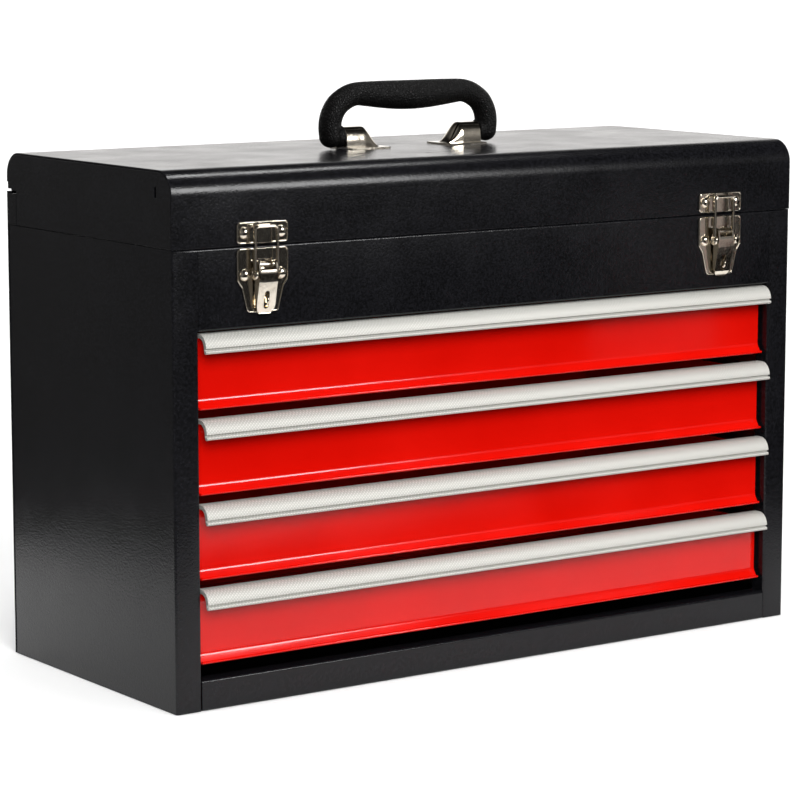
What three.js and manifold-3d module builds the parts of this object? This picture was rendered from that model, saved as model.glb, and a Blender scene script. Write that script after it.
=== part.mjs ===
// Steel tool chest: a lift-up lid over an open till, and four drawers on ball-bearing slides.
// Millimetres. X runs to the right, the front faces -Y and Z is up.
// The origin is the middle of the underside.
import * as THREE from 'three';
import { mergeVertices } from 'three/addons/utils/BufferGeometryUtils.js';
import Module from 'manifold-3d';

const wasm = await Module();
wasm.setup();

// ---------------------------------------------------------------- driving dimensions
const WIDTH = 520;
const DEPTH = 218;
const BODY_HEIGHT = 300;
const LID_HEIGHT = 50;
const SHEET = 1;
const FIT = 0.3;

const POST_WIDTH = 19;
const RAIL_HEIGHT = 20;
const FASCIA_HEIGHT = 53;
const RETURN = 12;
const FLANGE = 10;
const LID_RADIUS = 16;
const WRAP_WIDTH = 12.5;

const DRAWER_COUNT = 4;
const TOP_GAP = 1.4;
const BOTTOM_GAP = 9.9;
const DRAWER_GAP = 5.9;
const FRONT_SETBACK = 10;
const FRONT_SIDE_GAP = 2.5;
const LIP_FLARE = 5;
const LIP_RISE = 6;
const SIDE_DROP = 5.5;
const REAR_SPACE = 13;

const PULL_HEIGHT = 12.5;
const PULL_OUT = 5.8;
const PULL_SHEET = 1.2;
const BEAD_RADIUS = 1.2;

const SLIDE_HALF = 13;
const SLIDE_RISE = 22;
const SLIDE_DEPTH = 9.4;
const INNER_HALF = 8;
const INNER_DEPTH = 4.2;
const SLIDE_SIDE_GAP = 0.5;
const SLIDE_TRAY_GAP = 0.8;
const BALL_RADIUS = 1.75;
const CAGE_LENGTH = 80;
const CAGE_SETBACK = 80;
const SLIDE_SHORT = 14;
const BALLS_PER_ROW = 3;

const HINGE_INSET = 3;
const HINGE_BELOW_RADIUS = 7;
const KNUCKLE_RADIUS = 2.4;
const HINGE_PIN_RADIUS = 1;
const PIN_CLEARANCE = 0.15;
const KNUCKLE_COUNT = 15;
const KNUCKLE_GAP = 0.4;
const LEAF_SHEET = 0.7;
const LEAF_HEIGHT = 13;
const LEAF_GAP = 0.4;

const HANDLE_WIDTH = 150;
const HANDLE_RISE = 46;
const GRIP_RADIUS = 8;
const BELLY_RADIUS = 10.2;
const BELLY_HALF = 44;
const FOOT_CLEARANCE = 1;
const TRUNNION_RADIUS = 4.5;
const TRUNNION_LENGTH = 12;
const SADDLE_LENGTH = 28;
const SADDLE_SHEET = 1.2;
const TRUNNION_ROOM = 1.5;
const SADDLE_FLANGE = 7;

const LATCH_INSET = 67;
const LATCH_SHEET = 1;
const LEVER_SHEET = 1.2;
const LUG_GAP = 0.4;
const LATCH_WIDTH = 39;
const LATCH_FOOT_WIDTH = 23.4;
const LATCH_SHOULDER_DROP = 21.7;
const LATCH_DROP = 41.7;
const LATCH_TOP_DROP = 1.3;
const KEEPER_HEIGHT = 14;
const KEEPER_RISE = 1.5;
const TONGUE_HALF = 6.3;
const RIVET_RADIUS = 3;
const RIVET_RISE = 1.3;
const LEVER_HALF = 7;
const LEVER_PIVOT_DROP = 12;
const LEVER_PIVOT_OUT = 4.8;
const LEVER_PIN_RADIUS = 1.1;
const LEVER_LENGTH = 32.5;
const LEVER_NOTCH = 3.5;
const BAIL_DROP = 18;
const BAIL_OUT = 5.5;
const BAIL_RISE = 29;
const BAIL_GAP = 0.35;
const WIRE_RADIUS = 1.15;

// ---------------------------------------------------------------- sizes that follow from them
const HALF = WIDTH / 2;
const FRONT = -DEPTH / 2;
const BACK = DEPTH / 2;
const OPENING_HALF = HALF - POST_WIDTH;
const OPENING_TOP = BODY_HEIGHT - FASCIA_HEIGHT;
const LID_SEAM = BODY_HEIGHT + FIT;
const TOP = BODY_HEIGHT + LID_HEIGHT;
const HINGE_Y = BACK - HINGE_INSET;
const HINGE_Z = TOP - LID_RADIUS - HINGE_BELOW_RADIUS;
const FRONT_STACK = OPENING_TOP - TOP_GAP - RAIL_HEIGHT - BOTTOM_GAP;
const FRONT_HEIGHT = (FRONT_STACK - DRAWER_GAP * (DRAWER_COUNT - 1)) / DRAWER_COUNT;
const FRONT_HALF = OPENING_HALF - FRONT_SIDE_GAP;
const TRAY_HALF = OPENING_HALF - SLIDE_SIDE_GAP - INNER_DEPTH - FIT;
const TRAY_BACK = BACK - SHEET - REAR_SPACE;
const DRAWER_FACE = FRONT + FRONT_SETBACK;
const SLIDE_FRONT = FRONT + RETURN + 1;
const SLIDE_LENGTH = TRAY_BACK - DRAWER_FACE - SLIDE_SHORT;
const HANDLE_PIVOT_RISE = GRIP_RADIUS + FOOT_CLEARANCE;
const SADDLE_HALF = TRUNNION_RADIUS + TRUNNION_ROOM + SADDLE_SHEET;
const SADDLE_RISE = HANDLE_PIVOT_RISE + TRUNNION_RADIUS + FIT + SADDLE_SHEET;
const BAIL_HALF = LEVER_HALF + BAIL_GAP + WIRE_RADIUS;

// ---------------------------------------------------------------- finishes
const finish = (color, roughness, metalness) => new THREE.MeshStandardMaterial({ color, roughness, metalness });
const blackPaint = () => finish('#1b1a1c', 0.45, 0);
const redPaint = () => finish('#d0100a', 0.2, 0);
const aluminium = () => finish('#d4d2ca', 0.35, 1);
const nickel = () => finish('#c8bfb0', 0.15, 1);
const zincSteel = () => finish('#b4b6b8', 0.35, 1);
const blackVinyl = () => finish('#1a1918', 0.55, 0);

// ---------------------------------------------------------------- joining and cutting
function solid(geometry) {
  const bare = geometry.clone();
  bare.deleteAttribute('normal');
  bare.deleteAttribute('uv');
  const merged = mergeVertices(bare, 1e-4);
  return new wasm.Manifold(new wasm.Mesh({
    numProp: 3,
    vertProperties: new Float32Array(merged.attributes.position.array),
    triVerts: new Uint32Array(merged.index.array),
  }));
}

function geometryOf(body) {
  const mesh = body.getMesh();
  const geometry = new THREE.BufferGeometry();
  geometry.setAttribute('position', new THREE.BufferAttribute(mesh.vertProperties, 3));
  geometry.setIndex(new THREE.BufferAttribute(mesh.triVerts, 1));
  geometry.computeVertexNormals();
  return geometry;
}

const join = (...pieces) => pieces.reduce((a, b) => a.add(b));
const cut = (body, ...tools) => tools.reduce((a, b) => a.subtract(b), body);

// ---------------------------------------------------------------- shapes
function block(x0, x1, y0, y1, z0, z1) {
  const box = new THREE.BoxGeometry(x1 - x0, y1 - y0, z1 - z0);
  return solid(box.translate((x0 + x1) / 2, (y0 + y1) / 2, (z0 + z1) / 2));
}

function extruded(outline, depth) {
  const shape = new THREE.Shape(outline.map(([u, v]) => new THREE.Vector2(u, v)));
  return new THREE.ExtrudeGeometry(shape, { depth, bevelEnabled: false });
}

const axes = (a, b, c) => new THREE.Matrix4().makeBasis(
  new THREE.Vector3(...a),
  new THREE.Vector3(...b),
  new THREE.Vector3(...c),
);

// An outline in (y, z), run along X.
function alongX(outline, x0, x1) {
  const bar = extruded(outline, x1 - x0).applyMatrix4(axes([0, 1, 0], [0, 0, 1], [1, 0, 0]));
  return solid(bar.translate(x0, 0, 0));
}

// An outline in (x, z), run along Y.
function alongY(outline, y0, y1) {
  const bar = extruded(outline, y1 - y0).applyMatrix4(axes([1, 0, 0], [0, 0, 1], [0, -1, 0]));
  return solid(bar.translate(0, y1, 0));
}

// An outline in (x, y), run up Z.
function alongZ(outline, z0, z1) {
  return solid(extruded(outline, z1 - z0).translate(0, 0, z0));
}

function rodX(radius, x0, x1, y, z, sides = 12) {
  const rod = new THREE.CylinderGeometry(radius, radius, x1 - x0, sides).rotateZ(Math.PI / 2);
  return solid(rod.translate((x0 + x1) / 2, y, z));
}

function rodZ(radius, z0, z1, x, y, sides = 12) {
  const rod = new THREE.CylinderGeometry(radius, radius, z1 - z0, sides).rotateX(Math.PI / 2);
  return solid(rod.translate(x, y, (z0 + z1) / 2));
}

function ball(radius, x, y, z, around = 12, down = 8) {
  return solid(new THREE.SphereGeometry(radius, around, down).translate(x, y, z));
}

// Points on a circle from angle a to angle b, in degrees.
function arc(cx, cy, radius, a, b, steps) {
  return Array.from({ length: steps + 1 }, (_, i) => {
    const t = THREE.MathUtils.degToRad(a + ((b - a) * i) / steps);
    return [cx + radius * Math.cos(t), cy + radius * Math.sin(t)];
  });
}

// Bent sheet seen end on: a line, and the same line moved to its left by the thickness.
function bent(line, thickness) {
  const normals = line.slice(1).map(([x, y], i) => {
    const [px, py] = line[i];
    const length = Math.hypot(x - px, y - py);
    return [-(y - py) / length, (x - px) / length];
  });
  const moved = line.map(([x, y], i) => {
    const a = normals[Math.max(i - 1, 0)];
    const b = normals[Math.min(i, normals.length - 1)];
    const k = thickness / (1 + a[0] * b[0] + a[1] * b[1]);
    return [x + (a[0] + b[0]) * k, y + (a[1] + b[1]) * k];
  });
  return [...line, ...moved.reverse()];
}

const mirrored = (outline, side) => outline.map(([x, y]) => [x * side, y]);
const span = (side, near, far) => (side > 0 ? [near, far] : [-far, -near]);

const group = new THREE.Group();

function place(name, body, material, position = [0, 0, 0]) {
  const mesh = new THREE.Mesh(geometryOf(body), material);
  mesh.name = name;
  mesh.position.set(...position);
  group.add(mesh);
  return mesh;
}

const SIDES = [['left', -1], ['right', 1]];

// ---------------------------------------------------------------- cabinet
function sidePanel(side) {
  const rear = BACK - SHEET - FIT;
  const plan = bent([
    [OPENING_HALF, FRONT],
    [HALF, FRONT],
    [HALF, rear],
    [HALF - RETURN, rear],
  ], SHEET);
  const wall = alongZ(mirrored(plan, side), 0, BODY_HEIGHT);
  const jamb = block(
    ...span(side, OPENING_HALF, OPENING_HALF + SHEET),
    FRONT + SHEET / 2, FRONT + RETURN,
    SHEET + FIT, OPENING_TOP,
  );
  const sideTop = block(
    ...span(side, HALF - FLANGE, HALF - SHEET / 2),
    FRONT + SHEET / 2, rear,
    BODY_HEIGHT - SHEET, BODY_HEIGHT,
  );
  const postTop = block(
    ...span(side, OPENING_HALF, HALF - SHEET / 2),
    FRONT + SHEET / 2, FRONT + FLANGE,
    BODY_HEIGHT - SHEET, BODY_HEIGHT,
  );
  return join(wall, jamb, sideTop, postTop);
}

function backPanel() {
  const plate = block(-HALF, HALF, BACK - SHEET, BACK, 0, HINGE_Z - KNUCKLE_RADIUS - 1.4);
  const wraps = SIDES.map(([, side]) => block(
    ...span(side, HALF - SHEET, HALF),
    BACK - WRAP_WIDTH, BACK - SHEET / 2,
    LID_SEAM, HINGE_Z - KNUCKLE_RADIUS - 2.6,
  ));
  return join(plate, ...wraps);
}

function bottomPanel() {
  const inside = HALF - SHEET - FIT;
  const rear = BACK - SHEET * 2 - FIT * 2;
  const plate = block(-inside, inside, FRONT + SHEET + FIT, rear, 0, SHEET);
  const rail = alongX(bent([
    [FRONT + SHEET + 1, 0],
    [FRONT, 0],
    [FRONT, RAIL_HEIGHT],
    [FRONT + RETURN, RAIL_HEIGHT],
  ], -SHEET), -OPENING_HALF + FIT, OPENING_HALF - FIT);
  const upstands = SIDES.map(([, side]) => block(
    ...span(side, inside - SHEET, inside),
    FRONT + RETURN + FIT, rear - SHEET - FIT,
    SHEET / 2, FLANGE,
  ));
  return join(plate, rail, ...upstands);
}

function frontFascia() {
  const profile = bent([
    [FRONT + RETURN, OPENING_TOP],
    [FRONT, OPENING_TOP],
    [FRONT, BODY_HEIGHT],
    [FRONT + FLANGE, BODY_HEIGHT],
  ], -SHEET);
  return alongX(profile, -OPENING_HALF + FIT, OPENING_HALF - FIT);
}

function tillFloor() {
  const inside = HALF - SHEET - FIT;
  const front = FRONT + SHEET + FIT;
  const rear = BACK - SHEET * 2 - FIT * 2;
  const floor = OPENING_TOP + SHEET + FIT;
  const pan = block(-inside, inside, front, rear, floor, floor + FLANGE);
  const hollow = block(
    -inside + SHEET, inside - SHEET,
    front + SHEET, rear - SHEET,
    floor + SHEET, floor + FLANGE + 1,
  );
  return cut(pan, hollow);
}

// Upright channel that carries one side's four slides, open towards the cabinet wall.
const CARRIER_FACE = TRAY_HALF + SLIDE_TRAY_GAP + SLIDE_DEPTH + FIT;

function slideCarrier(side) {
  const wall = HALF - SHEET * 2 - FIT * 2;
  const plan = bent([
    [wall, SLIDE_FRONT + 4],
    [CARRIER_FACE, SLIDE_FRONT + 4],
    [CARRIER_FACE, SLIDE_FRONT + SLIDE_LENGTH - 4],
    [wall, SLIDE_FRONT + SLIDE_LENGTH - 4],
  ], -SHEET);
  return alongZ(mirrored(plan, side), RAIL_HEIGHT + 1, OPENING_TOP - 1);
}

// ---------------------------------------------------------------- drawers and their slides
const drawerTop = (k) => OPENING_TOP - TOP_GAP - k * (FRONT_HEIGHT + DRAWER_GAP);

// The whole tray is folded from one sheet: the front turns forward at the top and flares at the foot.
function drawerTray(top) {
  const foot = top - FRONT_HEIGHT;
  const shelf = top - PULL_SHEET - FIT - SHEET;
  const floor = foot + 2;
  const rim = top - SIDE_DROP;
  const front = alongX(bent([
    [DRAWER_FACE - LIP_FLARE, foot],
    [DRAWER_FACE, foot + LIP_RISE],
    [DRAWER_FACE, shelf],
    [FRONT + 2, shelf],
  ], -SHEET), -FRONT_HALF, FRONT_HALF);
  const bead = rodX(SHEET * 0.9, -FRONT_HALF, FRONT_HALF, DRAWER_FACE - LIP_FLARE + 0.4, foot + 0.9, 8);
  const inside = DRAWER_FACE + SHEET / 2;
  const walls = SIDES.map(([, side]) => join(
    block(...span(side, TRAY_HALF - SHEET, TRAY_HALF), inside, TRAY_BACK, floor, rim),
    block(...span(side, TRAY_HALF - 4, TRAY_HALF - SHEET / 2), inside, TRAY_BACK, rim - SHEET, rim),
  ));
  return join(
    front,
    bead,
    block(-TRAY_HALF, TRAY_HALF, inside, TRAY_BACK, floor, floor + SHEET),
    block(-TRAY_HALF, TRAY_HALF, TRAY_BACK - SHEET, TRAY_BACK, floor, rim),
    ...walls,
  );
}

// Rolled strip along the drawer's top edge: a flat web, a rounded nose and a bead at its lower edge.
function drawerPull(top) {
  const reach = FRONT - PULL_OUT;
  const profile = bent([
    [DRAWER_FACE, top],
    [FRONT + 1.5, top],
    [FRONT - 1.5, top - 0.8],
    [FRONT - 4, top - 3],
    [reach + 0.4, top - 6.5],
    [reach, top - PULL_HEIGHT + BEAD_RADIUS],
  ], PULL_SHEET);
  const strip = alongX(profile, -FRONT_HALF - 0.5, FRONT_HALF + 0.5);
  const bead = rodX(
    BEAD_RADIUS, -FRONT_HALF - 0.5, FRONT_HALF + 0.5,
    reach + BEAD_RADIUS, top - PULL_HEIGHT + BEAD_RADIUS, 10,
  );
  return join(strip, bead);
}

function slideOuter(side, height) {
  const near = TRAY_HALF + SLIDE_TRAY_GAP;
  const profile = bent([
    [near, -SLIDE_HALF],
    [near + SLIDE_DEPTH, -SLIDE_HALF],
    [near + SLIDE_DEPTH, SLIDE_HALF],
    [near, SLIDE_HALF],
  ], SHEET).map(([x, z]) => [x * side, z + height]);
  return alongY(profile, SLIDE_FRONT, SLIDE_FRONT + SLIDE_LENGTH);
}

function slideInner(side, height) {
  const near = TRAY_HALF + FIT;
  const profile = bent([
    [near + INNER_DEPTH, INNER_HALF],
    [near, INNER_HALF],
    [near, -INNER_HALF],
    [near + INNER_DEPTH, -INNER_HALF],
  ], SHEET).map(([x, z]) => [x * side, z + height]);
  return alongY(profile, DRAWER_FACE + 4, DRAWER_FACE + 4 + SLIDE_LENGTH);
}

// Ball cage: a thin strip bent into a channel, with its balls held in the two edges.
function ballCage(side, height) {
  const row = (SLIDE_HALF - SHEET + INNER_HALF) / 2;
  const near = TRAY_HALF + FIT + 1.1;
  const web = TRAY_HALF + FIT + INNER_DEPTH + 1.5;
  const edge = 0.3;
  const strip = bent([
    [near, -row - edge],
    [web, -row - edge],
    [web, row + edge],
    [near, row + edge],
  ], edge * 2).map(([x, z]) => [x * side, z + height]);
  const start = SLIDE_FRONT + CAGE_SETBACK;
  const cage = alongY(strip, start, start + CAGE_LENGTH);
  const balls = [];
  for (let i = 0; i < BALLS_PER_ROW; i += 1) {
    const y = start + (CAGE_LENGTH * (i + 0.5)) / BALLS_PER_ROW;
    for (const z of [height - row, height + row]) {
      balls.push(ball(BALL_RADIUS, side * (near + BALL_RADIUS), y, z, 6, 5));
    }
  }
  return join(cage, ...balls);
}

// ---------------------------------------------------------------- lid
// The skin's section, from the rear edge over the top to the front edge, at a distance inside the outer face.
function lidLine(inset, rearEdge) {
  const r = LID_RADIUS - inset;
  const z = TOP - LID_RADIUS;
  return [
    [BACK - inset, rearEdge],
    ...arc(BACK - LID_RADIUS, z, r, 0, 90, 6),
    ...arc(FRONT + LID_RADIUS, z, r, 90, 180, 6),
    [FRONT + inset, LID_SEAM],
  ];
}

function lidSkin() {
  const skin = alongX(bent(lidLine(0, HINGE_Z + KNUCKLE_RADIUS + FIT), SHEET), -HALF, HALF);
  const frontSlit = block(-31, 0, FRONT + 44.3, FRONT + 45.7, TOP - SHEET * 2, TOP + 1);
  const rearSlit = block(-29, 2, FRONT + 129.3, FRONT + 130.7, TOP - SHEET * 2, TOP + 1);
  return cut(skin, frontSlit, rearSlit);
}

function lidEnd(side) {
  const inset = SHEET + FIT;
  const notch = HINGE_Z - 2;
  const front = BACK - WRAP_WIDTH - FIT;
  const plate = alongX([
    ...lidLine(inset, notch),
    [front, LID_SEAM],
    [front, notch],
  ], ...span(side, HALF - SHEET, HALF));
  const rim = alongX(bent(lidLine(inset, notch), SHEET), ...span(side, HALF - FLANGE, HALF - SHEET / 2));
  const slot = block(
    ...span(side, HALF - 3, HALF + 1),
    FRONT + 19, FRONT + 21,
    TOP - 18, TOP - 11,
  );
  return cut(join(plate, rim), slot);
}

// ---------------------------------------------------------------- lid hinge
// One leaf of the piano hinge: a strip, with every second knuckle rolled on its edge.
function hingeLeaf(first, direction) {
  const half = HALF - FLANGE - 1;
  const pitch = (2 * half) / KNUCKLE_COUNT;
  const y0 = BACK - SHEET - FIT - LEAF_SHEET;
  const y1 = BACK - SHEET - FIT;
  const near = HINGE_Z + direction * (KNUCKLE_RADIUS + LEAF_GAP);
  const flat = TOP - LID_RADIUS - FIT - near;
  const far = near + direction * (direction > 0 ? Math.min(flat, LEAF_HEIGHT) : LEAF_HEIGHT);
  const leaf = [block(-half, half, y0, y1, Math.min(near, far), Math.max(near, far))];
  for (let i = first; i < KNUCKLE_COUNT; i += 2) {
    const x0 = -half + i * pitch + KNUCKLE_GAP / 2;
    const x1 = x0 + pitch - KNUCKLE_GAP;
    const edge = near + direction * 0.2;
    leaf.push(block(x0, x1, y0, y1, Math.min(HINGE_Z, edge), Math.max(HINGE_Z, edge)));
    leaf.push(rodX(KNUCKLE_RADIUS, x0, x1, HINGE_Y, HINGE_Z, 12));
  }
  const bore = rodX(HINGE_PIN_RADIUS + PIN_CLEARANCE, -HALF, HALF, HINGE_Y, HINGE_Z, 8);
  return cut(join(...leaf), bore);
}

function hingePin() {
  const half = HALF - FLANGE - 1.5;
  return rodX(HINGE_PIN_RADIUS, -half, half, HINGE_Y, HINGE_Z, 8);
}

// ---------------------------------------------------------------- carrying handle
const LEG_X = HANDLE_WIDTH / 2 - GRIP_RADIUS - 0.5;
const PIVOT_Z = TOP + HANDLE_PIVOT_RISE;

function handleGrip() {
  const crown = TOP + HANDLE_RISE - GRIP_RADIUS;
  const half = [
    [LEG_X, PIVOT_Z - 1],
    [LEG_X + 0.5, PIVOT_Z + 8],
    [LEG_X - 5, crown - 9],
    [LEG_X - 18, crown - 1],
    [LEG_X - 34, crown],
  ];
  const route = [...half.map(([x, z]) => [-x, z]), ...half.reverse()];
  const curve = new THREE.CatmullRomCurve3(route.map(([x, z]) => new THREE.Vector3(x, 0, z)));
  const round = arc(0, 0, GRIP_RADIUS, 0, 337.5, 15).map(([u, v]) => new THREE.Vector2(u, v));
  const along = { extrudePath: curve, steps: 28, bevelEnabled: false };
  const tube = solid(new THREE.ExtrudeGeometry(new THREE.Shape(round), along));
  const profile = Array.from({ length: 13 }, (_, i) => {
    const t = -1 + i / 6;
    const end = GRIP_RADIUS - 1;
    const radius = Math.abs(t) === 1 ? 0 : end + (BELLY_RADIUS - end) * (1 - t * t);
    return new THREE.Vector2(radius, t * BELLY_HALF);
  });
  const belly = solid(new THREE.LatheGeometry(profile, 16).rotateZ(Math.PI / 2)
    .translate(0, 0, TOP + HANDLE_RISE - BELLY_RADIUS));
  const feet = SIDES.map(([, side]) => join(
    ball(GRIP_RADIUS, side * LEG_X, 0, PIVOT_Z, 16, 10),
    rodX(TRUNNION_RADIUS, ...span(side, LEG_X - GRIP_RADIUS - TRUNNION_LENGTH, LEG_X), 0, PIVOT_Z, 16),
  ));
  return join(tube, belly, ...feet);
}

// A pressed saddle over each trunnion: a round-topped tunnel, open at the grip, sloped shut at its inner end.
function handleBracket(side) {
  const base = TOP + 0.2;
  const outer = LEG_X - GRIP_RADIUS - 1;
  const inner = outer - SADDLE_LENGTH;
  const tunnel = (half, rise, from, to, slope) => {
    const hump = [
      [-half, base],
      [half, base],
      ...arc(0, TOP + rise - half, half, 0, 180, 10),
    ];
    const wedge = [
      [from - 1, base + 1],
      [from, base + 1],
      [from + slope, TOP + rise],
      [from + slope, TOP + rise + 1],
      [from - 1, TOP + rise + 1],
    ];
    const bar = alongX(hump, ...span(side, from, to));
    return cut(bar, alongY(mirrored(wedge, side), -half - 1, half + 1));
  };
  const wall = SADDLE_SHEET;
  const flange = block(
    ...span(side, inner - 4, outer),
    -SADDLE_HALF - SADDLE_FLANGE, SADDLE_HALF + SADDLE_FLANGE,
    base, base + 1,
  );
  const dome = tunnel(SADDLE_HALF, SADDLE_RISE, inner, outer, 11);
  const hollow = tunnel(SADDLE_HALF - wall, SADDLE_RISE - wall, inner + wall, outer + 1, 11);
  const mouth = block(
    ...span(side, inner + wall, outer + 1),
    -SADDLE_HALF + wall, SADDLE_HALF - wall,
    base - 1, base + 1.1,
  );
  return cut(join(flange, dome), hollow, mouth);
}

// ---------------------------------------------------------------- latches
// Each latch piece is drawn about X = 0 and placed at its own side.
const PLATE_BACK = FRONT - 0.2;
const PLATE_FACE = PLATE_BACK - LATCH_SHEET;
const LEVER_Y = FRONT - LEVER_PIVOT_OUT;
const LEVER_Z = BODY_HEIGHT - LEVER_PIVOT_DROP;
const BAIL_Y = FRONT - BAIL_OUT;
const BAIL_Z = BODY_HEIGHT - BAIL_DROP;
const BASE_TOP = BODY_HEIGHT - LATCH_TOP_DROP;

const dome = (x, z) => {
  const flatten = RIVET_RISE / RIVET_RADIUS;
  const curve = arc(0, 0, RIVET_RADIUS, 0, 90, 4).map(([r, h]) => new THREE.Vector2(r, h * flatten));
  curve[4].x = 0;
  const profile = [new THREE.Vector2(0, -0.5), new THREE.Vector2(RIVET_RADIUS, -0.5), ...curve];
  const head = new THREE.LatheGeometry(profile, 12);
  return solid(head.rotateX(Math.PI).translate(x, PLATE_FACE, z));
};

function latchBase() {
  const half = LATCH_WIDTH / 2;
  const foot = LATCH_FOOT_WIDTH / 2;
  const low = BASE_TOP - LATCH_DROP;
  const plate = alongY([
    [-half, BASE_TOP - LATCH_SHOULDER_DROP],
    [-foot, low],
    [foot, low],
    [half, BASE_TOP - LATCH_SHOULDER_DROP],
    [half, BASE_TOP],
    [-half, BASE_TOP],
  ], PLATE_FACE, PLATE_BACK);
  const bridge = alongZ(bent([
    [-LEVER_HALF, PLATE_FACE + LATCH_SHEET / 2],
    [-LEVER_HALF, PLATE_FACE - 2.4],
    [LEVER_HALF, PLATE_FACE - 2.4],
    [LEVER_HALF, PLATE_FACE + LATCH_SHEET / 2],
  ], LATCH_SHEET), LEVER_Z + 3.7, BASE_TOP - 0.2);
  const lugs = [-1, 1].map((side) => alongX([
    [PLATE_FACE + LATCH_SHEET / 2, LEVER_Z - 3],
    [PLATE_FACE + LATCH_SHEET / 2, LEVER_Z + 2.6],
    [LEVER_Y, LEVER_Z + 2.1],
    ...arc(LEVER_Y, LEVER_Z, 2.1, 135, 225, 3),
    [LEVER_Y, LEVER_Z - 2.1],
  ], ...span(side, LEVER_HALF - LEVER_SHEET * 2 - LUG_GAP, LEVER_HALF - LEVER_SHEET - LUG_GAP)));
  const holeRadius = LEVER_PIN_RADIUS + PIN_CLEARANCE;
  const bore = rodX(holeRadius, -LEVER_HALF, LEVER_HALF, LEVER_Y, LEVER_Z, 10);
  // The padlock staple stands through the slot in the lever.
  const hoop = (radius, end) => [
    ...arc(PLATE_FACE - 3.4, 0, radius, 90, 270, 6),
    [PLATE_FACE + end, -radius],
    [PLATE_FACE + end, radius],
  ];
  const ring = hoop(3.4, 0.5);
  const eye = hoop(1.9, -0.4);
  const at = (outline) => outline.map(([y, z]) => [y, z + BASE_TOP - LATCH_DROP + 8]);
  const staple = cut(alongX(at(ring), -0.8, 0.8), alongX(at(eye), -2, 2));
  const rivets = [-1, 1].map((side) => dome(side * 13.5, BASE_TOP - 19.7));
  return join(plate, bridge, staple, cut(join(...lugs), bore), ...rivets);
}

function latchKeeper() {
  const half = LATCH_WIDTH / 2;
  const low = BODY_HEIGHT + KEEPER_RISE;
  const plate = block(-half, half, PLATE_FACE, PLATE_BACK, low, low + KEEPER_HEIGHT);
  const tongue = alongZ(bent([
    [-TONGUE_HALF, PLATE_FACE + LATCH_SHEET / 2],
    [-TONGUE_HALF, PLATE_FACE - 2],
    [TONGUE_HALF, PLATE_FACE - 2],
    [TONGUE_HALF, PLATE_FACE + LATCH_SHEET / 2],
  ], LATCH_SHEET), low, low + KEEPER_HEIGHT);
  const rivets = [-1, 1].map((side) => dome(side * 14, low + KEEPER_HEIGHT / 2));
  return join(plate, tongue, ...rivets);
}

function latchLever() {
  const face = LEVER_Y - 3.1;
  const tip = LEVER_Z - LEVER_LENGTH;
  const skin = 0.8;
  const line = [
    [face, LEVER_Z + 1.1],
    [face - 0.9, LEVER_Z - 6],
    [face - 0.2, LEVER_Z - 11],
    [PLATE_FACE - 3.2, tip + 4],
    [PLATE_FACE - 1.6, tip + 1.2],
    [PLATE_FACE - 2.4, tip],
  ];
  // Between the ears the plate starts below the pin, so that the opened lever clears the lugs.
  const start = [face - 0.45, LEVER_Z - LEVER_NOTCH];
  const inside = LEVER_HALF - LEVER_SHEET;
  const plate = alongX(bent([start, ...line.slice(1)], skin), -inside, inside);
  const ears = [-1, 1].map((side) => alongX([
    ...line.slice(0, 4),
    [PLATE_FACE - 1.4, tip + 5],
    [PLATE_FACE - 1.4, LEVER_Z - 12],
    [BAIL_Y + 2.2, BAIL_Z - 1.4],
    ...arc(LEVER_Y, LEVER_Z, 2.4, -60, 90, 5),
  ], ...span(side, LEVER_HALF - LEVER_SHEET, LEVER_HALF)));
  const bores = [
    rodX(LEVER_PIN_RADIUS + PIN_CLEARANCE, -LEVER_HALF - 1, LEVER_HALF + 1, LEVER_Y, LEVER_Z, 10),
    rodX(WIRE_RADIUS + 0.2, -LEVER_HALF - 1, LEVER_HALF + 1, BAIL_Y, BAIL_Z, 10),
  ];
  const slot = block(-1.7, 1.7, LEVER_Y - 6, PLATE_FACE, tip + 3.8, tip + 15.6);
  return cut(join(plate, ...ears), ...bores, slot);
}

function leverPin() {
  return rodX(LEVER_PIN_RADIUS, -LEVER_HALF + 0.1, LEVER_HALF - 0.1, LEVER_Y, LEVER_Z, 10);
}

// Wire bail: two legs, a bar that hooks over the keeper, and stubs turned in through the lever's ears.
function latchBail() {
  const top = BAIL_Z + BAIL_RISE;
  const legs = [-1, 1].map((side) => join(
    rodZ(WIRE_RADIUS, BAIL_Z, top, side * BAIL_HALF, BAIL_Y, 10),
    ball(WIRE_RADIUS, side * BAIL_HALF, BAIL_Y, top, 10, 6),
    ball(WIRE_RADIUS, side * BAIL_HALF, BAIL_Y, BAIL_Z, 10, 6),
    rodX(WIRE_RADIUS, ...span(side, LEVER_HALF - LEVER_SHEET, BAIL_HALF), BAIL_Y, BAIL_Z, 10),
  ));
  return join(...legs, rodX(WIRE_RADIUS, -BAIL_HALF, BAIL_HALF, BAIL_Y, top, 10));
}

// ---------------------------------------------------------------- the assembly
for (const [name, side] of SIDES) {
  place(`side_panel_${name}`, sidePanel(side), blackPaint());
  place(`slide_carrier_${name}`, slideCarrier(side), zincSteel());
  place(`lid_end_${name}`, lidEnd(side), blackPaint());
  place(`handle_bracket_${name}`, handleBracket(side), nickel());
  const at = [side * (HALF - LATCH_INSET), 0, 0];
  place(`latch_base_${name}`, latchBase(), nickel(), at);
  place(`latch_keeper_${name}`, latchKeeper(), nickel(), at);
  place(`latch_lever_${name}`, latchLever(), nickel(), at);
  place(`latch_pin_${name}`, leverPin(), nickel(), at);
  place(`latch_bail_${name}`, latchBail(), nickel(), at);
}

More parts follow.
